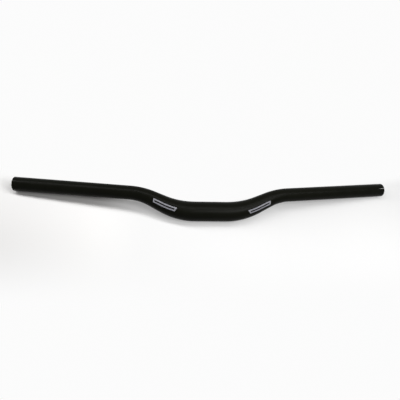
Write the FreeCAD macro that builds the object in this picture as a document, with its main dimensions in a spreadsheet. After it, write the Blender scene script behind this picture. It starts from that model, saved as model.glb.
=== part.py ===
import FreeCAD
import Part
import Sketcher
import math
import os

# A riser handlebar for a bicycle: one aluminium tube, thick at the stem clamp and tapered to the grips,
# bent upwards beside the clamp and back again into the swept grips. Millimetres and degrees.
# The body is drawn as it is ridden, with X along the clamp, Y towards the rider and Z up. Its placement
# then rolls it about the clamp axis, until it lies on a table as a bare bar does.

SIZES = {
    "bar_width": 620.0,
    "clamp_diameter": 31.8,
    "clamp_length": 50.0,
    "clamp_wall": 2.4,
    "grip_diameter": 22.2,
    "grip_wall": 1.8,
    "inner_bend_radius": 120.0,
    "rise_angle": 25.0,
    "rise_run": 20.0,
    "outer_bend_radius": 90.0,
    "back_sweep": 9.0,
    "up_sweep": 3.5,
    "end_chamfer": 0.5,
}

# Where the tapering section is drawn along each stretch of the path, as shares of that stretch.
BEND_STATIONS = (0.25, 0.5, 0.75, 1.0)
RUN_STATIONS = (0.5, 1.0)

# The rise and the grip each have a direction, given here by its parts along the three axes. The bend
# between them turns through the angle that they make, in a plane rolled about the rise's own axis.
RISE_ALONG = "cos(sizes.rise_angle)"
RISE_UP = "sin(sizes.rise_angle)"
GRIP_ALONG = "cos(sizes.up_sweep) * cos(sizes.back_sweep)"
GRIP_BACK = "cos(sizes.up_sweep) * sin(sizes.back_sweep)"
GRIP_UP = "sin(sizes.up_sweep)"
OUTER_BEND_ANGLE = f"acos({RISE_ALONG} * {GRIP_ALONG} + {RISE_UP} * {GRIP_UP})"
BEND_ROLL = f"atan2({RISE_UP} * {GRIP_ALONG} - {RISE_ALONG} * {GRIP_UP}; {GRIP_BACK})"

# What the bends and the run take of half the width; the straight grip takes the rest.
INNER_BEND_ALONG = f"sizes.inner_bend_radius * {RISE_UP}"
OUTER_BEND_ALONG = f"sizes.outer_bend_radius * tan({OUTER_BEND_ANGLE} / 2) * ({RISE_ALONG} + {GRIP_ALONG})"
RISE_WIDTH = f"({INNER_BEND_ALONG} + sizes.rise_run * {RISE_ALONG} + {OUTER_BEND_ALONG})"
GRIP_LENGTH = f"((sizes.bar_width - sizes.clamp_length) / 2 - {RISE_WIDTH}) / ({GRIP_ALONG})"

# The taper runs along the axis from the end of the clamp to the start of the grip, through both bends.
INNER_ARC = "sizes.inner_bend_radius * sizes.rise_angle * pi / 180"
OUTER_ARC = f"sizes.outer_bend_radius * {OUTER_BEND_ANGLE} / 1 rad"
TAPER_LENGTH = f"({INNER_ARC} + sizes.rise_run + {OUTER_ARC})"
CLAMP_BORE = "(sizes.clamp_diameter - 2 * sizes.clamp_wall)"
GRIP_BORE = "(sizes.grip_diameter - 2 * sizes.grip_wall)"

doc = FreeCAD.newDocument("handlebar")

sheet = doc.addObject("Spreadsheet::Sheet", "sizes")
for row, (alias, value) in enumerate(SIZES.items(), start=1):
    sheet.set(f"A{row}", alias)
    sheet.set(f"B{row}", str(value))
    sheet.setAlias(f"B{row}", alias)
doc.recompute()

body = doc.addObject("PartDesign::Body", "handlebar")
body.Label = "handlebar"


def size(alias):
    return float(sheet.get(alias))


def origin_plane(role):
    return next(item for item in body.Origin.OriginFeatures if item.Role == role)


def new_sketch(name, support, mode="FlatFace", share=0.0):
    """A sketch on an origin plane, or square across a path at a share of one of its edges."""
    sketch = body.newObject("Sketcher::SketchObject", name)
    sketch.AttachmentSupport = [support]
    sketch.MapMode = mode
    sketch.MapPathParameter = share
    return sketch


def bind(sketch, name, constraint, expression):
    index = sketch.addConstraint(constraint)
    sketch.renameConstraint(index, name)
    sketch.setExpression(f"Constraints.{name}", expression)


def draw_ring(sketch, outside, bore):
    """Two circles round the sketch's origin: the tube's outside and its bore."""
    for name, alias, expression in (("outside", "clamp_diameter", outside), ("bore", "grip_diameter", bore)):
        radius = size(alias) / 2
        circle = sketch.addGeometry(Part.Circle(FreeCAD.Vector(), FreeCAD.Vector(0, 0, 1), radius))
        sketch.addConstraint(Sketcher.Constraint("Coincident", circle, 3, -1, 1))
        bind(sketch, name, Sketcher.Constraint("Diameter", circle, 2 * radius), expression)


def draw_section(name, path, edge, share, travelled):
    """The tube's section at a share of one edge of a path. Its size eases from the clamp's to the grip's."""
    sketch = new_sketch(name, (path, edge), "NormalToEdge", share)
    part = f"(({travelled}) / {TAPER_LENGTH})"
    ease = f"({part}^2 * (3 - 2 * {part}))"
    draw_ring(
        sketch,
        f"sizes.clamp_diameter + (sizes.grip_diameter - sizes.clamp_diameter) * {ease}",
        f"{CLAMP_BORE} + ({GRIP_BORE} - {CLAMP_BORE}) * {ease}",
    )
    return sketch


def draw_stretch(name, path, edge, stations, before, length):
    """The sections along one edge of a path, which starts this far from the end of the clamp."""
    return [
        draw_section(f"{name}_{step}", path, edge, share, f"{before} + {share} * {length}")
        for step, share in enumerate(stations)
    ]


def sweep_tube(name, path, edges, sections):
    pipe = body.newObject("PartDesign::AdditivePipe", name)
    pipe.Profile = (sections[0], [""])
    pipe.Spine = (path, edges)
    pipe.Transformation = "Multisection"
    pipe.Sections = [(section, [""]) for section in sections[1:]]
    doc.recompute()
    return pipe


def draw_rise_path():
    """The inner bend and the straight run after it, in the XZ plane."""
    sketch = new_sketch("rise_path", (origin_plane("XZ_Plane"), ""))
    radius = size("inner_bend_radius")
    angle = math.radians(size("rise_angle"))
    centre = FreeCAD.Vector(size("clamp_length") / 2, radius, 0)
    run_start = centre + FreeCAD.Vector(math.sin(angle), -math.cos(angle), 0) * radius
    run_end = run_start + FreeCAD.Vector(math.cos(angle), math.sin(angle), 0) * size("rise_run")
    circle = Part.Circle(centre, FreeCAD.Vector(0, 0, 1), radius)
    bend = sketch.addGeometry(Part.ArcOfCircle(circle, -math.pi / 2, angle - math.pi / 2))
    run = sketch.addGeometry(Part.LineSegment(run_start, run_end))
    sketch.addConstraint(Sketcher.Constraint("PointOnObject", bend, 1, -1))
    sketch.addConstraint(Sketcher.Constraint("Vertical", bend, 1, bend, 3))
    sketch.addConstraint(Sketcher.Constraint("Tangent", bend, 2, run, 1))
    clamp_half = Sketcher.Constraint("DistanceX", -1, 1, bend, 1, centre.x)
    bind(sketch, "clamp_half", clamp_half, "sizes.clamp_length / 2")
    bind(sketch, "radius", Sketcher.Constraint("Radius", bend, radius), "sizes.inner_bend_radius")
    bind(sketch, "angle", Sketcher.Constraint("Angle", run, angle), "sizes.rise_angle * 1 deg")
    bind(sketch, "run", Sketcher.Constraint("Distance", run, size("rise_run")), "sizes.rise_run")
    doc.recompute()
    return sketch


def draw_sweep_path(rise_path):
    """The outer bend: it starts along the sketch's Y axis at the run's end and turns towards -X."""
    sketch = new_sketch("sweep_path", (rise_path, "Edge2"), "NormalToEdge", 1.0)
    roll = f"rotation(vector(0; 0; 1); {BEND_ROLL})"
    stand_up = "rotation(vector(1; 0; 0); -90)"
    sketch.setExpression("AttachmentOffset", f"placement(vector(0; 0; 0); {roll} * {stand_up})")
    radius = size("outer_bend_radius")
    angle = math.radians(size("rise_angle"))
    circle = Part.Circle(FreeCAD.Vector(-radius, 0, 0), FreeCAD.Vector(0, 0, 1), radius)
    bend = sketch.addGeometry(Part.ArcOfCircle(circle, 0, angle))
    sketch.addConstraint(Sketcher.Constraint("Coincident", bend, 1, -1, 1))
    sketch.addConstraint(Sketcher.Constraint("PointOnObject", bend, 3, -1))
    bind(sketch, "radius", Sketcher.Constraint("Radius", bend, radius), "sizes.outer_bend_radius")
    bind(sketch, "angle", Sketcher.Constraint("Angle", bend, angle), OUTER_BEND_ANGLE)
    doc.recompute()
    return sketch


def lying_roll(grip_section, grip):
    """How far the bar rolls about its clamp axis until the clamp and both grip ends share one table."""
    along_grip = grip_section.Placement.Rotation.multVec(FreeCAD.Vector(0, 0, -1))
    rim = grip_section.Placement.Base + along_grip * (grip.Length.Value - size("end_chamfer"))
    reach = math.hypot(rim.y, rim.z)
    roll = 0.0
    for _ in range(20):
        slope = along_grip.y * math.sin(roll) + along_grip.z * math.cos(roll)
        lift = size("clamp_diameter") / 2 - size("grip_diameter") / 2 * math.sqrt(1 - slope**2)
        roll = -math.asin(lift / reach) - math.atan2(rim.z, rim.y)
    return math.degrees(roll)


# The straight middle that the stem clamps.
clamp_ring = new_sketch("clamp_ring", (origin_plane("YZ_Plane"), ""))
draw_ring(clamp_ring, "sizes.clamp_diameter", CLAMP_BORE)
clamp = body.newObject("PartDesign::Pad", "clamp")
clamp.Profile = clamp_ring
clamp.SideType = "Symmetric"
clamp.setExpression("Length", "sizes.clamp_length")
doc.recompute()

# The rise: up beside the clamp, then straight.
rise_path = draw_rise_path()
rise_sections = [draw_section("rise_start", rise_path, "Edge1", 0.0, "0")]
rise_sections += draw_stretch("inner_bend", rise_path, "Edge1", BEND_STATIONS, "0", INNER_ARC)
rise_sections += draw_stretch("run", rise_path, "Edge2", RUN_STATIONS, INNER_ARC, "sizes.rise_run")
rise = sweep_tube("rise", rise_path, ["Edge1", "Edge2"], rise_sections)

# The outer bend, out of the rise's plane into the swept grip.
sweep_path = draw_sweep_path(rise_path)
before_sweep = f"{INNER_ARC} + sizes.rise_run"
sweep_sections = [draw_section("sweep_start", sweep_path, "Edge1", 0.0, before_sweep)]
sweep_sections += draw_stretch("outer_bend", sweep_path, "Edge1", BEND_STATIONS, before_sweep, OUTER_ARC)
sweep = sweep_tube("sweep", sweep_path, ["Edge1"], sweep_sections)

# The straight grip, from the last section out to the cut end.
grip = body.newObject("PartDesign::Pad", "grip")
grip.Profile = sweep_sections[-1]
grip.Reversed = True
grip.setExpression("Length", GRIP_LENGTH)
doc.recompute()

# The other half.
other_half = body.newObject("PartDesign::Mirrored", "other_half")
other_half.Originals = [rise, sweep, grip]
other_half.MirrorPlane = (origin_plane("YZ_Plane"), [""])
body.Tip = other_half
doc.recompute()

# Both rims of both cut ends are broken: the ends are the only flat faces.
flat_faces = [face for face in other_half.Shape.Faces if isinstance(face.Surface, Part.Plane)]
rims = [edge for face in flat_faces for edge in face.Edges]
rim_names = [
    f"Edge{number}"
    for number, edge in enumerate(other_half.Shape.Edges, start=1)
    if any(edge.isSame(rim) for rim in rims)
]
end_break = body.newObject("PartDesign::Chamfer", "end_break")
end_break.Base = (other_half, rim_names)
end_break.setExpression("Size", "sizes.end_chamfer")
doc.recompute()

body.Placement = FreeCAD.Placement(
    FreeCAD.Vector(),
    FreeCAD.Rotation(FreeCAD.Vector(1, 0, 0), lying_roll(sweep_sections[-1], grip)),
)
doc.recompute()

failed = [item.Name for item in doc.Objects if "Invalid" in item.State or "Error" in item.State]
if failed:
    raise RuntimeError(f"not built: {failed}")
if body.Shape.isNull() or not body.Shape.isValid() or len(body.Shape.Solids) != 1:
    raise RuntimeError("the handlebar is not one valid solid")

os.makedirs("parts", exist_ok=True)
body.Shape.exportStep(f"parts/{body.Label}.step")
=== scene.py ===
import math

import bpy
from mathutils import Matrix, Vector


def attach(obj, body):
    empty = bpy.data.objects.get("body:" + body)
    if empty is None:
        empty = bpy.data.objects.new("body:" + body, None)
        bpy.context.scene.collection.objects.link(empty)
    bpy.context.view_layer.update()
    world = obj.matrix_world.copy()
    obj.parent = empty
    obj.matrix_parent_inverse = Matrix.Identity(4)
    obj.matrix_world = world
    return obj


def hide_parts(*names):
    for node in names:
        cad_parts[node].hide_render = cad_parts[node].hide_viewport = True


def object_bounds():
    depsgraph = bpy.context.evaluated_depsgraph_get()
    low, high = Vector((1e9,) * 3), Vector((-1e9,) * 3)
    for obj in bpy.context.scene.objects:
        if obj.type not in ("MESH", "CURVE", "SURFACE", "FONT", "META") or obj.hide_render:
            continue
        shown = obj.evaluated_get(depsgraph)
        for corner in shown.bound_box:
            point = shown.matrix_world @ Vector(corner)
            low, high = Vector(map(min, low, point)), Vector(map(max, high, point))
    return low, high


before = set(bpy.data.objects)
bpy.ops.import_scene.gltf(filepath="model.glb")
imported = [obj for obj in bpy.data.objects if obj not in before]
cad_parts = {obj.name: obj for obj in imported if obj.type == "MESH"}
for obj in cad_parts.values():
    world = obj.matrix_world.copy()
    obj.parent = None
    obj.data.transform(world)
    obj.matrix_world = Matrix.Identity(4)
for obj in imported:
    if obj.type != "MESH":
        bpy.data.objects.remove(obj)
cad_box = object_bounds()

# A riser handlebar: one bent and tapered aluminium tube, blasted and anodised black, lying on a pale table.
# Metres and radians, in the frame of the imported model: X along the clamp, Y towards the grip ends, Z up.
MM = 0.001

# The tube's own sizes
BAR_HALF_WIDTH = 310 * MM
CLAMP_HALF = 25 * MM
CLAMP_RADIUS = 15.9 * MM
CLAMP_BORE = 13.5 * MM
GRIP_RADIUS = 11.1 * MM
GRIP_BORE = 9.3 * MM
INNER_BEND = 120 * MM
RISE_ANGLE = math.radians(25)
RISE_RUN = 20 * MM
OUTER_BEND = 90 * MM
BACK_SWEEP = math.radians(9)
UP_SWEEP = math.radians(3.5)
RIM_CHAMFER = 0.5 * MM

# How finely the tube is drawn: the steps of its axis, the rings on each stretch and the sides of a ring
BEND_STEP = 0.5 * MM
STRAIGHT_STEP = 5 * MM
BEND_RING_STEP = 2 * MM
CLAMP_RINGS = 2
RUN_RINGS = 5
GRIP_RINGS = 10
SIDES = 96

# Edges sharper than this stay sharp, and points nearer than this become one.
CREASE = math.radians(30)
WELD = 0.001 * MM

WHITE = (1, 1, 1, 1)
NO_COLOUR = (0, 0, 0, 1)


# Node helpers

def put(tree, kind, inputs=None, **settings):
    """A new node with its settings. Each input is joined to another node's output, or given a value."""
    node = tree.nodes.new(kind)
    for name, value in settings.items():
        setattr(node, name, value)
    for key, value in (inputs or {}).items():
        if isinstance(value, bpy.types.NodeSocket):
            tree.links.new(value, node.inputs[key])
        else:
            node.inputs[key].default_value = value
    return node


def calc(tree, operation, first, second=0.0):
    """One sum on two numbers."""
    return put(tree, "ShaderNodeMath", {0: first, 1: second}, operation=operation).outputs[0]


def vector_calc(tree, operation, first, second):
    """One sum on two vectors."""
    return put(tree, "ShaderNodeVectorMath", {0: first, 1: second}, operation=operation).outputs[0]


def scaled(tree, vector, factor):
    """A vector made longer or shorter."""
    return put(tree, "ShaderNodeVectorMath", {0: vector, "Scale": factor}, operation="SCALE").outputs[0]


def split(tree, vector):
    """The X, Y and Z of a vector."""
    return put(tree, "ShaderNodeSeparateXYZ", {0: vector}).outputs


def ramp(tree, value, start, end, low=0.0, high=1.0, smooth=True):
    """A value that goes from low to high, eased or straight, while another goes from start to end."""
    shape = "SMOOTHSTEP" if smooth else "LINEAR"
    ends = {0: value, 1: start, 2: end, 3: low, 4: high}
    return put(tree, "ShaderNodeMapRange", ends, interpolation_type=shape).outputs[0]


def blend_colour(tree, share, first, second):
    """Two colours mixed by a share."""
    return put(tree, "ShaderNodeMix", {0: share, 6: first, 7: second}, data_type="RGBA").outputs[2]


def new_group(name, kind, inputs, outputs):
    """An empty node group with named inputs and outputs, and its two end nodes."""
    group = bpy.data.node_groups.new(name, kind)
    for label, socket_type in inputs:
        group.interface.new_socket(label, in_out="INPUT", socket_type="NodeSocket" + socket_type)
    for label, socket_type in outputs:
        group.interface.new_socket(label, in_out="OUTPUT", socket_type="NodeSocket" + socket_type)
    return group, put(group, "NodeGroupInput"), put(group, "NodeGroupOutput")


# The tube's axis

ROLL_ROUNDS = 20


def bar_directions():
    """The directions of the clamp, the rise and the grip on the right half, as the bar is ridden."""
    clamp = Vector((1, 0, 0))
    rise = Vector((math.cos(RISE_ANGLE), 0, math.sin(RISE_ANGLE)))
    level = math.cos(UP_SWEEP)
    grip = Vector((level * math.cos(BACK_SWEEP), level * math.sin(BACK_SWEEP), math.sin(UP_SWEEP)))
    return clamp, rise, grip


def lying_roll(end, grip):
    """The turn about the clamp axis that brings the clamp and both grip ends down onto one table."""
    rim = end - grip * RIM_CHAMFER
    reach = math.hypot(rim.y, rim.z)
    roll = 0.0
    for _ in range(ROLL_ROUNDS):
        slope = grip.y * math.sin(roll) + grip.z * math.cos(roll)
        lift = CLAMP_RADIUS - GRIP_RADIUS * math.sqrt(1 - slope * slope)
        roll = -math.asin(lift / reach) - math.atan2(rim.z, rim.y)
    return roll


def half_axis():
    """Points along the right half of the tube's axis, and the lengths of its stretches."""
    clamp, rise, grip = bar_directions()
    points = [Vector((0, 0, 0))]
    lengths = []

    def straight(direction, length):
        start = points[-1]
        steps = max(1, round(length / STRAIGHT_STEP))
        points.extend(start + direction * (length * step / steps) for step in range(1, steps + 1))
        lengths.append(length)

    def bend(before, after, radius):
        start = points[-1]
        angle = before.angle(after)
        inward = (after - before * before.dot(after)).normalized()
        steps = round(radius * angle / BEND_STEP)
        for step in range(1, steps + 1):
            turn = angle * step / steps
            points.append(start + radius * (math.sin(turn) * before + (1 - math.cos(turn)) * inward))
        lengths.append(radius * angle)

    straight(clamp, CLAMP_HALF)
    bend(clamp, rise, INNER_BEND)
    straight(rise, RISE_RUN)
    bend(rise, grip, OUTER_BEND)
    straight(grip, (BAR_HALF_WIDTH - points[-1].x) / grip.x)
    roll = Matrix.Rotation(lying_roll(points[-1], grip), 3, "X")
    return [roll @ point for point in points], lengths


axis_half, stretches = half_axis()
TAPER = sum(stretches[1:4])
HALF_LENGTH = sum(stretches)


def make_axis():
    """The whole axis as a line of edges, which the trees follow. It is removed when they are done."""
    mirrored = [Vector((-point.x, point.y, point.z)) for point in reversed(axis_half[1:])]
    points = mirrored + axis_half
    mesh = bpy.data.meshes.new("bar_axis")
    mesh.from_pydata(points, [(place, place + 1) for place in range(len(points) - 1)], [])
    line = bpy.data.objects.new("bar_axis", mesh)
    bpy.context.scene.collection.objects.link(line)
    return line


# Geometry groups that the tube and the print share

def make_taper_group():
    """The tube's radius at a station: the clamp's, easing along the bends to the grip's."""
    group, entry, leave = new_group(
        "tapered_radius",
        "GeometryNodeTree",
        [("Station", "Float"), ("At Clamp", "Float"), ("At Grip", "Float"), ("Clamp Half", "Float"),
         ("Taper", "Float")],
        [("Radius", "Float")],
    )
    distance = calc(group, "ABSOLUTE", entry.outputs["Station"])
    finish = calc(group, "ADD", entry.outputs["Clamp Half"], entry.outputs["Taper"])
    radius = ramp(group, distance, entry.outputs["Clamp Half"], finish,
                  entry.outputs["At Clamp"], entry.outputs["At Grip"])
    group.links.new(radius, leave.inputs["Radius"])
    return group


def make_wrap_group():
    """A place round the bent axis: a station along it, an angle from the top to the front, and a radius."""
    group, entry, leave = new_group(
        "place_on_tube",
        "GeometryNodeTree",
        [("Axis", "Object"), ("Half Length", "Float"), ("Station", "Float"), ("Angle", "Float"),
         ("Radius", "Float")],
        [("Position", "Vector")],
    )
    line = put(group, "GeometryNodeObjectInfo", {"Object": entry.outputs["Axis"]})
    curve = put(group, "GeometryNodeMeshToCurve", {"Mesh": line.outputs["Geometry"]})
    length = calc(group, "ADD", entry.outputs["Station"], entry.outputs["Half Length"])
    sample = put(group, "GeometryNodeSampleCurve", {"Curves": curve.outputs[0], "Length": length},
                 mode="LENGTH")
    tangent = sample.outputs["Tangent"]
    across = vector_calc(group, "CROSS_PRODUCT", tangent, (0, 0, 1))
    front = put(group, "ShaderNodeVectorMath", {0: across}, operation="NORMALIZE").outputs[0]
    top = vector_calc(group, "CROSS_PRODUCT", front, tangent)
    upward = scaled(group, top, calc(group, "COSINE", entry.outputs["Angle"]))
    forward = scaled(group, front, calc(group, "SINE", entry.outputs["Angle"]))
    outward = vector_calc(group, "ADD", upward, forward)
    offset = scaled(group, outward, entry.outputs["Radius"])
    place = vector_calc(group, "ADD", sample.outputs["Position"], offset)
    group.links.new(place, leave.inputs["Position"])
    return group


taper_group = make_taper_group()
wrap_group = make_wrap_group()

TUBE_INPUTS = [
    ("Axis", "Object"), ("Half Length", "Float"), ("Clamp Half", "Float"), ("Taper", "Float"),
    ("Clamp Radius", "Float"), ("Grip Radius", "Float"),
]


def tapered(tree, entry, station, clamp_name, grip_name):
    """The tapered radius at a station, between two of the tree's named sizes."""
    inputs = {"Station": station,
              "At Clamp": entry.outputs[clamp_name], "At Grip": entry.outputs[grip_name],
              "Clamp Half": entry.outputs["Clamp Half"], "Taper": entry.outputs["Taper"]}
    return put(tree, "GeometryNodeGroup", inputs, node_tree=taper_group).outputs["Radius"]


def placed(tree, entry, station, angle, radius):
    """The position on the tube for a station, an angle and a radius."""
    inputs = {"Axis": entry.outputs["Axis"], "Half Length": entry.outputs["Half Length"],
              "Station": station, "Angle": angle, "Radius": radius}
    return put(tree, "GeometryNodeGroup", inputs, node_tree=wrap_group).outputs["Position"]


def stored(tree, geometry, name, value, kind, domain):
    """Geometry with a named attribute written on it."""
    inputs = {"Geometry": geometry, "Name": name, "Value": value}
    return put(tree, "GeometryNodeStoreNamedAttribute", inputs, data_type=kind, domain=domain).outputs[0]


def named(tree, name):
    """A named number read from the geometry."""
    node = put(tree, "GeometryNodeInputNamedAttribute", {"Name": name}, data_type="FLOAT")
    return node.outputs["Attribute"]


def finished_mesh(name, start_mesh, group, values):
    """Runs a tree on a mesh and keeps the result as a plain mesh object."""
    seed = bpy.data.objects.new(name + "_seed", start_mesh)
    bpy.context.scene.collection.objects.link(seed)
    modifier = seed.modifiers.new("tree", "NODES")
    modifier.node_group = group
    for item in group.interface.items_tree:
        if item.in_out == "INPUT" and item.name in values:
            modifier[item.identifier] = values[item.name]
    bpy.context.view_layer.update()
    graph = bpy.context.evaluated_depsgraph_get()
    mesh = bpy.data.meshes.new_from_object(seed.evaluated_get(graph))
    mesh.name = name
    seed.modifiers.remove(modifier)
    bpy.data.objects.remove(seed)
    for index in reversed(range(len(mesh.materials))):
        if mesh.materials[index] is None:
            mesh.materials.pop(index=index)
    piece = bpy.data.objects.new(name, mesh)
    bpy.context.scene.collection.objects.link(piece)
    return piece


# The tube

# A face whose corners lie further inwards than this, between the bore at 0 and the outside at 1, is bore.
BORE_SIDE = 0.25


def ring_stations():
    """Stations of the rings on the right half: close together in the bends, wide on the straights."""
    clamp, inner_bend, run, outer_bend, grip = stretches
    counted = [(clamp, CLAMP_RINGS), (inner_bend, round(inner_bend / BEND_RING_STEP)), (run, RUN_RINGS),
               (outer_bend, round(outer_bend / BEND_RING_STEP)), (grip - RIM_CHAMFER, GRIP_RINGS)]
    stations = [0.0]
    for length, rings in counted:
        start = stations[-1]
        stations += [start + length * ring / rings for ring in range(1, rings + 1)]
    return stations


def make_wall_section():
    """The tube's wall cut lengthwise: a closed loop out along the outside and back along the bore."""
    right = ring_stations()
    whole = [-station for station in reversed(right[1:])] + right
    outside = [(station, 1.0, 0.0) for station in whole]
    bore = [(station, 0.0, 0.0) for station in reversed(whole)]
    right_rim = [(HALF_LENGTH, 1.0, 1.0), (HALF_LENGTH, 0.0, 1.0)]
    left_rim = [(-HALF_LENGTH, 0.0, 1.0), (-HALF_LENGTH, 1.0, 1.0)]
    loop = outside + right_rim + bore + left_rim
    mesh = bpy.data.meshes.new("wall_section")
    heights = [CLAMP_RADIUS * wall + GRIP_BORE * (1 - wall) for _, wall, _ in loop]
    corners = [(station, height, 0) for (station, _, _), height in zip(loop, heights)]
    mesh.from_pydata(corners, [(place, (place + 1) % len(loop)) for place in range(len(loop))], [])
    for column, name in enumerate(("station", "outside", "rim")):
        layer = mesh.attributes.new(name, "FLOAT", "POINT")
        layer.data.foreach_set("value", [row[column] for row in loop])
    return mesh


def make_tube_tree():
    """Spins the wall's section round the bent axis, with the taper, the bore and the broken rims."""
    tree, entry, leave = new_group(
        "bent_tube",
        "GeometryNodeTree",
        [("Geometry", "Geometry"), *TUBE_INPUTS, ("Clamp Bore", "Float"), ("Grip Bore", "Float"),
         ("Chamfer", "Float"), ("Sides", "Int"), ("Outside Finish", "Material"),
         ("Bore Finish", "Material")],
        [("Geometry", "Geometry")],
    )
    section = put(tree, "GeometryNodeMeshToCurve", {"Mesh": entry.outputs["Geometry"]})
    count = calc(tree, "ADD", entry.outputs["Sides"], 1.0)
    line = put(tree, "GeometryNodeCurvePrimitiveLine")
    spin = put(tree, "GeometryNodeResampleCurve", {"Curve": line.outputs[0], "Count": count})
    share = put(tree, "GeometryNodeSplineParameter").outputs["Factor"]
    turned = stored(tree, spin.outputs[0], "turn", share, "FLOAT", "POINT")
    sheet = put(tree, "GeometryNodeCurveToMesh", {"Curve": turned, "Profile Curve": section.outputs[0]})

    station = named(tree, "station")
    outside = named(tree, "outside")
    turn = named(tree, "turn")
    outer = tapered(tree, entry, station, "Clamp Radius", "Grip Radius")
    inner = tapered(tree, entry, station, "Clamp Bore", "Grip Bore")
    wall = calc(tree, "SUBTRACT", outer, inner)
    plain = calc(tree, "ADD", inner, calc(tree, "MULTIPLY", wall, outside))
    cut = calc(tree, "MULTIPLY", named(tree, "rim"), entry.outputs["Chamfer"])
    towards = ramp(tree, outside, 0.0, 1.0, 1.0, -1.0, smooth=False)
    radius = calc(tree, "ADD", plain, calc(tree, "MULTIPLY", cut, towards))
    angle = calc(tree, "MULTIPLY", turn, math.tau)
    place = placed(tree, entry, station, angle, radius)

    half_length = entry.outputs["Half Length"]
    to_end = calc(tree, "SUBTRACT", half_length, calc(tree, "ABSOLUTE", station))
    marked = stored(tree, sheet.outputs[0], "from_end", to_end, "FLOAT", "POINT")
    along = ramp(tree, calc(tree, "DIVIDE", station, half_length), -1.0, 1.0, smooth=False)
    flat = put(tree, "ShaderNodeCombineXYZ", {"X": along, "Y": turn}).outputs[0]
    mapped = stored(tree, marked, "UVMap", flat, "FLOAT2", "CORNER")
    bent = put(tree, "GeometryNodeSetPosition", {"Geometry": mapped, "Position": place})
    closed = put(tree, "GeometryNodeMergeByDistance", {"Geometry": bent.outputs[0], "Distance": WELD})
    outward = put(tree, "GeometryNodeFlipFaces", {"Mesh": closed.outputs[0]})
    edge_angle = put(tree, "GeometryNodeInputMeshEdgeAngle").outputs["Unsigned Angle"]
    rounded = calc(tree, "LESS_THAN", edge_angle, CREASE)
    smooth = put(tree, "GeometryNodeSetShadeSmooth",
                 {"Geometry": outward.outputs[0], "Shade Smooth": rounded}, domain="EDGE")
    real = put(tree, "GeometryNodeRealizeInstances", {"Geometry": smooth.outputs[0]})
    coated = put(tree, "GeometryNodeSetMaterial",
                 {"Geometry": real.outputs[0], "Material": entry.outputs["Outside Finish"]})
    in_bore = calc(tree, "LESS_THAN", outside, BORE_SIDE)
    lined = put(tree, "GeometryNodeSetMaterial",
                {"Geometry": coated.outputs[0], "Selection": in_bore,
                 "Material": entry.outputs["Bore Finish"]})
    tree.links.new(lined.outputs[0], leave.inputs["Geometry"])
    return tree


# The print: two pale stripes that close at their ends round one long slot, on the front of each rise

# For each print its station on the tube, and its angle from the top towards the front
PRINT_PLACES = {"left": (-76 * MM, math.radians(35.4)), "right": (79 * MM, math.radians(50.2))}
PRINT_LENGTH = 38 * MM
PRINT_WIDTH = 6.4 * MM
PRINT_FLARE = math.tan(math.radians(17))
END_CELLS = 4
SLOT_CELLS = 64
STRIPE_ROWS = 3
SLOT_ROWS = 3
# How far the ink stands out of the tube, and how far it is sunk into it
PRINT_LIFT = 0.04 * MM
PRINT_ROOT = 0.04 * MM


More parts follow.
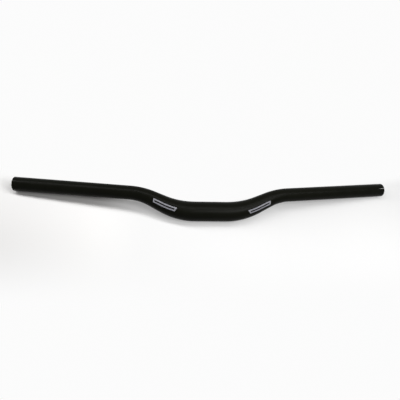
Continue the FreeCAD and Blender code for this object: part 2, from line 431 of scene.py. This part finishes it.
def make_print_tree():
    """A sheet with a slot between two stripes, fanned out, laid on the tube and given a thickness."""
    tree, entry, leave = new_group(
        "striped_print",
        "GeometryNodeTree",
        [("Geometry", "Geometry"), *TUBE_INPUTS, ("Centre", "Float"), ("Angle", "Float"),
         ("Length", "Float"), ("Width", "Float"), ("End Cells", "Int"), ("Slot Cells", "Int"),
         ("Stripe Rows", "Int"), ("Slot Rows", "Int"), ("Flare", "Float"), ("Lift", "Float"),
         ("Root", "Float"), ("Ink", "Material")],
        [("Geometry", "Geometry")],
    )
    length = entry.outputs["Length"]
    width = entry.outputs["Width"]
    ends = calc(tree, "MULTIPLY", entry.outputs["End Cells"], 2.0)
    columns = calc(tree, "ADD", ends, entry.outputs["Slot Cells"])
    stripes = calc(tree, "MULTIPLY", entry.outputs["Stripe Rows"], 2.0)
    rows = calc(tree, "ADD", stripes, entry.outputs["Slot Rows"])
    sheet = put(tree, "GeometryNodeMeshGrid",
                {"Size X": length, "Size Y": width, "Vertices X": calc(tree, "ADD", columns, 1.0),
                 "Vertices Y": calc(tree, "ADD", rows, 1.0)})
    spot = split(tree, put(tree, "GeometryNodeInputPosition").outputs[0])

    def within(offset, size, slot_cells, cells):
        off_middle = calc(tree, "ABSOLUTE", calc(tree, "DIVIDE", offset, size))
        slot_half = calc(tree, "DIVIDE", calc(tree, "MULTIPLY", slot_cells, 0.5), cells)
        return calc(tree, "LESS_THAN", off_middle, slot_half)

    between_ends = within(spot["X"], length, entry.outputs["Slot Cells"], columns)
    between_stripes = within(spot["Y"], width, entry.outputs["Slot Rows"], rows)
    slot = calc(tree, "MULTIPLY", between_ends, between_stripes)
    flat = put(tree, "GeometryNodeDeleteGeometry", {"Geometry": sheet.outputs[0], "Selection": slot},
               domain="FACE")

    from_middle = calc(tree, "DIVIDE", spot["X"], calc(tree, "MULTIPLY", length, 0.5))
    fan = calc(tree, "MULTIPLY", from_middle, entry.outputs["Flare"])
    along = calc(tree, "ADD", spot["X"], calc(tree, "MULTIPLY", spot["Y"], fan))
    station = calc(tree, "ADD", entry.outputs["Centre"], along)
    surface = tapered(tree, entry, station, "Clamp Radius", "Grip Radius")
    radius = calc(tree, "SUBTRACT", surface, entry.outputs["Root"])
    angle = calc(tree, "SUBTRACT", entry.outputs["Angle"], calc(tree, "DIVIDE", spot["Y"], surface))
    laid = put(tree, "GeometryNodeSetPosition",
               {"Geometry": flat.outputs[0], "Position": placed(tree, entry, station, angle, radius)})
    thickness = calc(tree, "ADD", entry.outputs["Lift"], entry.outputs["Root"])
    raised = put(tree, "GeometryNodeExtrudeMesh",
                 {"Mesh": laid.outputs[0], "Offset Scale": thickness, "Individual": False})
    under = put(tree, "GeometryNodeFlipFaces", {"Mesh": laid.outputs[0]})
    shell = put(tree, "GeometryNodeJoinGeometry")
    for side in (raised.outputs[0], under.outputs[0]):
        tree.links.new(side, shell.inputs[0])
    closed = put(tree, "GeometryNodeMergeByDistance", {"Geometry": shell.outputs[0], "Distance": WELD})
    real = put(tree, "GeometryNodeRealizeInstances", {"Geometry": closed.outputs[0]})
    inked = put(tree, "GeometryNodeSetMaterial",
                {"Geometry": real.outputs[0], "Material": entry.outputs["Ink"]})
    tree.links.new(inked.outputs[0], leave.inputs["Geometry"])
    return tree


# Finishes

def new_material(name):
    """A material of one Principled shader, joined to its output."""
    material = bpy.data.materials.new(name)
    material.use_nodes = True
    tree = material.node_tree
    tree.nodes.clear()
    shader = put(tree, "ShaderNodeBsdfPrincipled")
    put(tree, "ShaderNodeOutputMaterial", {"Surface": shader.outputs[0]})
    return material, tree, shader


def make_grain_group():
    """A blasted surface: a fine grain of small dents, and slow patches of slightly different tone."""
    group, entry, leave = new_group(
        "blasted_grain",
        "ShaderNodeTree",
        [("Vector", "Vector"), ("Grain Scale", "Float"), ("Patch Scale", "Float")],
        [("Grain", "Float"), ("Patches", "Float")],
    )
    dents = put(group, "ShaderNodeTexNoise",
                {"Vector": entry.outputs["Vector"], "Scale": entry.outputs["Grain Scale"], "Detail": 2.0,
                 "Roughness": 0.6})
    slow = put(group, "ShaderNodeTexNoise",
               {"Vector": entry.outputs["Vector"], "Scale": entry.outputs["Patch Scale"], "Detail": 4.0,
                "Roughness": 0.55})
    group.links.new(dents.outputs[0], leave.inputs["Grain"])
    group.links.new(ramp(group, slow.outputs[0], 0.3, 0.7), leave.inputs["Patches"])
    return group


grain_group = make_grain_group()


def grained(tree, grain_scale, patch_scale):
    """The blasted grain and its patches, on Object coordinates."""
    place = put(tree, "ShaderNodeTexCoord").outputs["Object"]
    inputs = {"Vector": place, "Grain Scale": grain_scale, "Patch Scale": patch_scale}
    node = put(tree, "ShaderNodeGroup", inputs, node_tree=grain_group)
    return node.outputs["Grain"], node.outputs["Patches"]


def unrolled(tree):
    """The tube's own map: X from the left end to the right one, Y round it from the top to the front."""
    return split(tree, put(tree, "ShaderNodeUVMap", uv_map="UVMap").outputs[0])


def bumped(tree, shader, height, strength, depth):
    """A bump on a shader's normal."""
    bump = put(tree, "ShaderNodeBump", {"Strength": strength, "Distance": depth, "Height": height})
    tree.links.new(bump.outputs[0], shader.inputs["Normal"])


# The anodising: its black in two close tones, and the pale metal tone of the worn rims and of a painted
# highlight
DEEP_BLACK = (0.0024, 0.0026, 0.0012, 1)
PALER_BLACK = (0.0032, 0.0034, 0.0018, 1)
BARE_METAL_AND_HIGHLIGHT = (0.26, 0.26, 0.26, 1)
BLAST_SCALE = 2000.0
BLAST_PATCHES = 55.0
BLAST_DEPTH = 0.09 * MM
BLAST_STRENGTH = 0.55
SATIN = (0.33, 0.39)
LOW_GLOSS_IOR = 1.13
LOW_GLOSS_LEVEL = 0.43
# The turned ends are smoother up to the first distance from the end, and as the rest from the second.
TURNED_END = (9 * MM, 13 * MM)
TURNED_SMOOTHER = 0.15
# The rims are rubbed up to the first distance from the end, and black from the second.
RUBBED_RIM = (0.55 * MM, 0.9 * MM)
RUBBED_SHARE = 0.35
# The painted highlight streak is widest up to the first distance from the end, and runs out to a point at
# the second.
HIGHLIGHT_STREAK_LENGTH = (6 * MM, 15 * MM)
HIGHLIGHT_STREAK_HALF_WIDTH = 0.8 * MM
HIGHLIGHT_STREAK_SOFT_EDGE = 0.25 * MM
HIGHLIGHT_STREAK_ANGLE = math.radians(18.7)
# How far the grain frays the edges of the worn rims and of the painted highlight streak
FRAY = 0.5 * MM


def painted_highlight_streak(tree, from_end, grain):
    """A pale streak on top of the right end, painted where a highlight runs along it: ragged, and thinner
    away from the end.
    """
    flat = unrolled(tree)
    off_turn = calc(tree, "ABSOLUTE", calc(tree, "SUBTRACT", flat["Y"], HIGHLIGHT_STREAK_ANGLE / math.tau))
    off_line = calc(tree, "MULTIPLY", off_turn, math.tau * GRIP_RADIUS)
    ragged = calc(tree, "ADD", off_line, calc(tree, "MULTIPLY", grain, FRAY))
    edge = ramp(tree, from_end, *HIGHLIGHT_STREAK_LENGTH, HIGHLIGHT_STREAK_HALF_WIDTH, 0.0, smooth=False)
    core = calc(tree, "SUBTRACT", edge, HIGHLIGHT_STREAK_SOFT_EDGE)
    streak = ramp(tree, ragged, core, calc(tree, "ADD", edge, HIGHLIGHT_STREAK_SOFT_EDGE), 1.0, 0.0)
    return calc(tree, "MULTIPLY", streak, calc(tree, "GREATER_THAN", flat["X"], 0.5))


def make_anodising():
    """Satin black anodising over a blasted tube, smoother on the turned ends, rubbed at their rims, and
    with a painted highlight on top of the right end.
    """
    material, tree, shader = new_material("satin_black_anodising")
    grain, patches = grained(tree, BLAST_SCALE, BLAST_PATCHES)
    from_end = put(tree, "ShaderNodeAttribute", attribute_name="from_end").outputs["Fac"]
    black = blend_colour(tree, patches, DEEP_BLACK, PALER_BLACK)
    ragged = calc(tree, "ADD", from_end, calc(tree, "MULTIPLY", grain, FRAY))
    rubbed = ramp(tree, ragged, *RUBBED_RIM, RUBBED_SHARE, 0.0)
    # Bare metal on the rubbed rims, and a painted highlight streak on top of the right end
    bare_and_highlight = calc(tree, "MAXIMUM", rubbed, painted_highlight_streak(tree, from_end, grain))
    tree.links.new(blend_colour(tree, bare_and_highlight, black, BARE_METAL_AND_HIGHLIGHT), shader.inputs["Base Color"])
    smoother = ramp(tree, from_end, *TURNED_END, TURNED_SMOOTHER, 0.0)
    satin = ramp(tree, patches, 0.0, 1.0, *SATIN, smooth=False)
    tree.links.new(calc(tree, "SUBTRACT", satin, smoother), shader.inputs["Roughness"])
    shader.inputs["IOR"].default_value = LOW_GLOSS_IOR
    shader.inputs["Specular IOR Level"].default_value = LOW_GLOSS_LEVEL
    bumped(tree, shader, grain, BLAST_STRENGTH, BLAST_DEPTH)
    return material


# The bore: how closely its drawn lines lie round the tube, and how far they run along it
LINES_ROUND = 12.0
LINES_ALONG = 6.0
LINES_DEPTH = 0.1 * MM
LINES_STRENGTH = 0.25
BORE_DARK = (0.010, 0.010, 0.009, 1)
BORE_PALE = (0.022, 0.022, 0.020, 1)
BORE_ROUGHNESS = (0.55, 0.75)
BORE_GLOSS_LEVEL = 0.2


def make_bore_finish():
    """The inside of the drawn tube: duller, with faint lines along it."""
    material, tree, shader = new_material("drawn_bore")
    flat = unrolled(tree)
    angle = calc(tree, "MULTIPLY", flat["Y"], math.tau)
    round_x = calc(tree, "MULTIPLY", calc(tree, "COSINE", angle), LINES_ROUND)
    round_y = calc(tree, "MULTIPLY", calc(tree, "SINE", angle), LINES_ROUND)
    along = calc(tree, "MULTIPLY", flat["X"], LINES_ALONG)
    place = put(tree, "ShaderNodeCombineXYZ", {0: round_x, 1: round_y, 2: along}).outputs[0]
    lines = put(tree, "ShaderNodeTexNoise", {"Vector": place, "Scale": 3.0, "Detail": 3.0}).outputs[0]
    tone = blend_colour(tree, ramp(tree, lines, 0.3, 0.7), BORE_DARK, BORE_PALE)
    tree.links.new(tone, shader.inputs["Base Color"])
    tree.links.new(ramp(tree, lines, 0.2, 0.8, *BORE_ROUGHNESS), shader.inputs["Roughness"])
    shader.inputs["Specular IOR Level"].default_value = BORE_GLOSS_LEVEL
    bumped(tree, shader, lines, LINES_STRENGTH, LINES_DEPTH)
    return material


# The ink of the prints
INK_GRAIN = 2500.0
INK_PATCHES = 300.0
INK_DEPTH = 0.03 * MM
INK_STRENGTH = 0.2
THIN_INK = (0.19, 0.19, 0.215, 1)
FULL_INK = (0.27, 0.27, 0.30, 1)
INK_ROUGHNESS = (0.5, 0.65)
INK_GLOSS_LEVEL = 0.3


def make_ink():
    """Pale grey ink, a little thin in places."""
    material, tree, shader = new_material("pale_grey_ink")
    grain, patches = grained(tree, INK_GRAIN, INK_PATCHES)
    tree.links.new(blend_colour(tree, patches, THIN_INK, FULL_INK), shader.inputs["Base Color"])
    tree.links.new(ramp(tree, patches, 0.0, 1.0, *INK_ROUGHNESS), shader.inputs["Roughness"])
    shader.inputs["Specular IOR Level"].default_value = INK_GLOSS_LEVEL
    bumped(tree, shader, grain, INK_STRENGTH, INK_DEPTH)
    return material


# The object

anodising = make_anodising()
bore_finish = make_bore_finish()
ink = make_ink()

axis = make_axis()
shared_values = {
    "Axis": axis, "Half Length": HALF_LENGTH, "Clamp Half": CLAMP_HALF, "Taper": TAPER,
    "Clamp Radius": CLAMP_RADIUS, "Grip Radius": GRIP_RADIUS,
}

tube_values = {
    **shared_values, "Clamp Bore": CLAMP_BORE, "Grip Bore": GRIP_BORE, "Chamfer": RIM_CHAMFER,
    "Sides": SIDES, "Outside Finish": anodising, "Bore Finish": bore_finish,
}
tube = finished_mesh("bent_tube", make_wall_section(), make_tube_tree(), tube_values)
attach(tube, "root")
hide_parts("handlebar")

print_tree = make_print_tree()
for side, (centre, angle) in PRINT_PLACES.items():
    print_values = {
        **shared_values, "Centre": centre, "Angle": angle, "Length": PRINT_LENGTH, "Width": PRINT_WIDTH,
        "End Cells": END_CELLS, "Slot Cells": SLOT_CELLS, "Stripe Rows": STRIPE_ROWS,
        "Slot Rows": SLOT_ROWS, "Flare": PRINT_FLARE, "Lift": PRINT_LIFT, "Root": PRINT_ROOT, "Ink": ink,
    }
    blank = bpy.data.meshes.new("print_blank")
    mark = finished_mesh("print_" + side, blank, print_tree, print_values)
    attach(mark, "root")

bpy.data.objects.remove(axis)

# The table

TABLE_REACH = 6.0
TABLE_Z = cad_box[0].z
TABLE_ROUGHNESS = 0.8
# Near the bar the table takes the lamps' light and the shadow. Its lit colour is paler on the left, along
# X, and darker on the right, where a glow of its own makes up the white and paints the shadow paler.
LIT_LEFT = (0.97, 0.965, 0.96, 1)
LIT_RIGHT = (0.56, 0.56, 0.56, 1)
LEFT_TO_RIGHT = (-190 * MM, -90 * MM)
# Far in front, behind the bar's line and beyond its ends, it goes over to a white of its own. The line runs
# back by a share of the distance from the middle.
FRONT_FADE = (-145 * MM, -25 * MM)
BACK_FADE = (5 * MM, 30 * MM)
SIDE_FADE = (340 * MM, 500 * MM)
BAR_SLANT = 0.168
OWN_WHITE = 0.97
# Painted shadow fill: on the right the lit part also has shares of its own white, which make the shadow and
# the table paler there: less along X, and more at the right end.
SHADOW_FILL_ALONG = (-90 * MM, 120 * MM)
SHADOW_FILL_SHARES = (0.33, 0.20)
END_SHADOW_FILL_ALONG = (160 * MM, 360 * MM)
END_SHADOW_FILL = 0.11


def shown_rays(tree):
    """One for rays that show the background: from the camera, from gloss and through glass."""
    rays = put(tree, "ShaderNodeLightPath")
    seen = calc(tree, "MAXIMUM", rays.outputs["Is Camera Ray"], rays.outputs["Is Glossy Ray"])
    return calc(tree, "MAXIMUM", seen, rays.outputs["Is Transmission Ray"])


def make_table_finish():
    """A plain pale table: lit near the bar, where it keeps the shadow, painted paler towards the right, and
    white of its own elsewhere.
    """
    material, tree, shader = new_material("pale_table")
    spot = split(tree, put(tree, "ShaderNodeTexCoord").outputs["Object"])
    rightward = ramp(tree, spot["X"], *LEFT_TO_RIGHT)
    lit = blend_colour(tree, rightward, LIT_LEFT, LIT_RIGHT)
    aside = calc(tree, "ABSOLUTE", spot["X"])
    behind = calc(tree, "SUBTRACT", spot["Y"], calc(tree, "MULTIPLY", aside, BAR_SLANT))
    in_front = ramp(tree, spot["Y"], *FRONT_FADE)
    before_back = calc(tree, "MULTIPLY", in_front, ramp(tree, behind, *BACK_FADE, 1.0, 0.0))
    near = calc(tree, "MULTIPLY", before_back, ramp(tree, aside, *SIDE_FADE, 1.0, 0.0))
    tree.links.new(blend_colour(tree, near, NO_COLOUR, lit), shader.inputs["Base Color"])
    shader.inputs["Roughness"].default_value = TABLE_ROUGHNESS
    shader.inputs["Specular IOR Level"].default_value = 0.0
    # Painted shadow fill: a glow of the table's own, seen by camera and gloss rays, that lightens the
    # shadow and the table towards the right
    shadow_fill_along = ramp(tree, spot["X"], *SHADOW_FILL_ALONG, *SHADOW_FILL_SHARES, smooth=False)
    shadow_fill_at_end = ramp(tree, spot["X"], *END_SHADOW_FILL_ALONG, 0.0, END_SHADOW_FILL)
    painted_shadow_fill = calc(tree, "ADD", calc(tree, "MULTIPLY", rightward, shadow_fill_along), shadow_fill_at_end)
    own_white_and_shadow_fill = ramp(tree, near, 0.0, 1.0, OWN_WHITE, painted_shadow_fill, smooth=False)
    shader.inputs["Emission Color"].default_value = WHITE
    tree.links.new(calc(tree, "MULTIPLY", shown_rays(tree), own_white_and_shadow_fill), shader.inputs["Emission Strength"])
    return material


table_mesh = bpy.data.meshes.new("table")
corner_signs = ((-1, -1), (1, -1), (1, 1), (-1, 1))
table_corners = [(TABLE_REACH * x, TABLE_REACH * y, TABLE_Z) for x, y in corner_signs]
table_mesh.from_pydata(table_corners, [], [(0, 1, 2, 3)])
table_mesh.materials.append(make_table_finish())
table = bpy.data.objects.new("table", table_mesh)
bpy.context.scene.collection.objects.link(table)

# The light

ROOM_FILL = 0.03
ROOM_TINT = (1.0, 0.93, 0.80, 1)


def add_lamp(name, power, place, length, width, turn=0.0, tilt=0.0):
    """A soft panel that hangs over the table and faces down."""
    data = bpy.data.lights.new(name, "AREA")
    data.energy = power
    data.shape = "RECTANGLE"
    data.size = length
    data.size_y = width
    lamp = bpy.data.objects.new(name, data)
    lamp.location = place
    lamp.rotation_euler = (0, tilt, turn)
    lamp.visible_camera = False
    bpy.context.scene.collection.objects.link(lamp)


def make_room():
    """A faint warm fill, and a plain white wherever the background shows."""
    world = bpy.data.worlds.new("studio")
    world.use_nodes = True
    tree = world.node_tree
    tree.nodes.clear()
    shown = shown_rays(tree)
    strength = ramp(tree, shown, 0.0, 1.0, ROOM_FILL, 1.0, smooth=False)
    tint = blend_colour(tree, shown, ROOM_TINT, WHITE)
    room = put(tree, "ShaderNodeBackground", {"Color": tint, "Strength": strength})
    put(tree, "ShaderNodeOutputWorld", {"Surface": room.outputs[0]})
    return world


add_lamp("long_softbox", power=4.7, place=(-180 * MM, 113 * MM, 460 * MM), length=1800 * MM, width=100 * MM,
         turn=math.radians(-13), tilt=math.radians(-9))
add_lamp("front_panel", power=1.6, place=(170 * MM, -200 * MM, 400 * MM), length=200 * MM, width=200 * MM)
bpy.context.scene.world = make_room()

# The camera, where the photo was taken from

AZIMUTH = math.radians(-14.28)
ELEVATION = math.radians(57.37)
ROLL = math.radians(12.87)
DISTANCE = 699.4 * MM
AIM = Vector((-15.59 * MM, 21.71 * MM, 0))
VIEW_ANGLE = math.radians(50)
NEAREST_SEEN = 10 * MM
FARTHEST_SEEN = 50.0


def make_camera():
    """A camera that looks back at the aim from the distance and the angles above."""
    data = bpy.data.cameras.new("photo_camera")
    data.sensor_fit = "HORIZONTAL"
    data.angle = VIEW_ANGLE
    data.clip_start = NEAREST_SEEN
    data.clip_end = FARTHEST_SEEN
    camera = bpy.data.objects.new("photo_camera", data)
    bpy.context.scene.collection.objects.link(camera)
    away = math.cos(ELEVATION)
    back = Vector((away * math.sin(AZIMUTH), -away * math.cos(AZIMUTH), math.sin(ELEVATION)))
    level = Vector((0, 0, 1)).cross(back).normalized()
    upright = back.cross(level)
    right_hand = math.cos(ROLL) * level + math.sin(ROLL) * upright
    upward = math.cos(ROLL) * upright - math.sin(ROLL) * level
    turn = Matrix((right_hand, upward, back)).transposed().to_4x4()
    camera.matrix_world = Matrix.Translation(AIM + back * DISTANCE) @ turn
    return camera


bpy.context.scene.camera = make_camera()
bpy.context.scene.view_settings.view_transform = "Standard"
